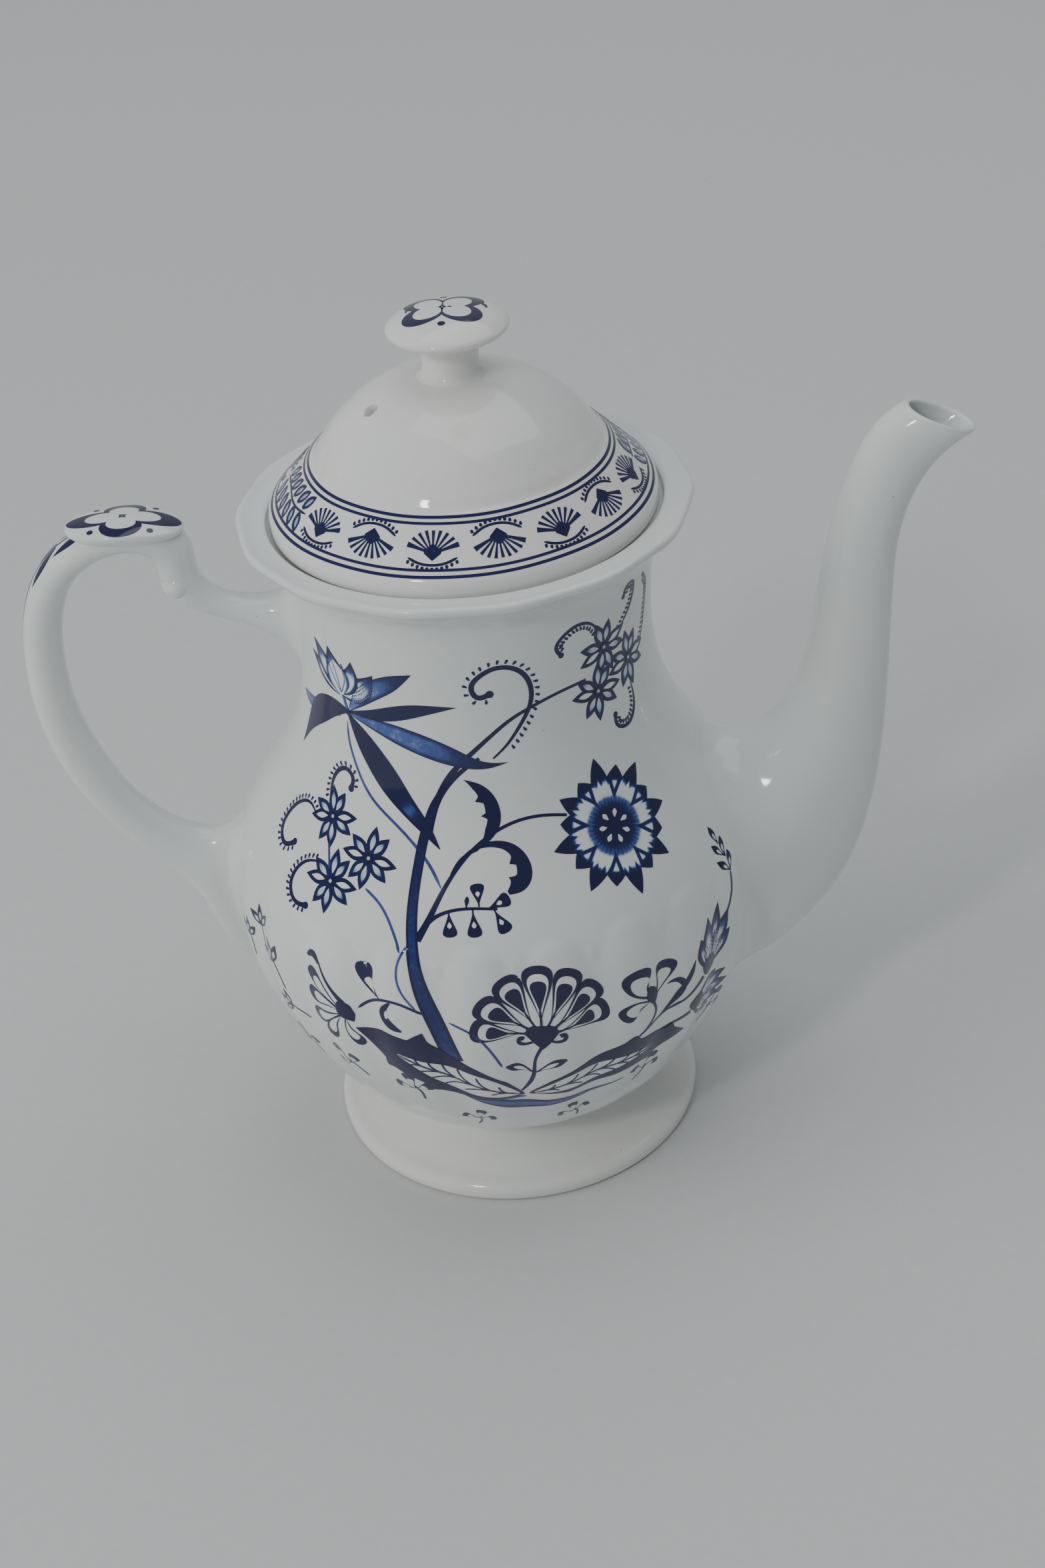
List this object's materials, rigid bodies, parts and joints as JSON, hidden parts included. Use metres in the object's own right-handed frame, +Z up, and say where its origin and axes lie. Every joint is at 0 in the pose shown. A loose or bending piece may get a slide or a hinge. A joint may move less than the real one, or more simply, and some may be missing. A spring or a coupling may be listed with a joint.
{
  "type": "coffee pot",
  "caption": "Tall pear-shaped white glazed coffee pot on a spreading foot, with an S-shaped spout, a scroll handle, a domed lid that lifts off and blue painted flowers.",
  "frame": {"origin": "on the surface that the foot stands on, under the middle of the length from handle to spout tip", "axes": "+Z up along the pot's axis, +X towards the spout, -X towards the handle, +Y to the left of the spout"},
  "size_m": [0.2456, 0.143, 0.241],
  "materials": {
    "body_glaze": "gloss white glaze with cobalt blue painting",
    "foot_glaze": "gloss white glaze",
    "spout_glaze": "gloss white glaze",
    "handle_glaze": "gloss white glaze with cobalt blue strokes",
    "thumb_glaze": "gloss white glaze with a cobalt blue flower",
    "lid_glaze": "gloss white glaze with a cobalt blue band",
    "collar_glaze": "gloss white glaze",
    "lug_glaze": "gloss white glaze",
    "knob_glaze": "gloss white glaze with a cobalt blue flower"
  },
  "bodies": {
    "pot": {"pot_body": "body_glaze", "pedestal_foot": "foot_glaze", "spout": "spout_glaze", "handle": "handle_glaze", "thumb_rest": "thumb_glaze"},
    "lid": {"lid_dome": "lid_glaze", "lid_collar": "collar_glaze", "lid_lug": "lug_glaze", "lid_knob": "knob_glaze"}
  },
  "joints": [
    {"name": "lid_lift", "type": "slide", "parent": "pot", "child": "lid", "axis": [0, 0, 1], "range_m": [0, 0.06]}
  ]
}
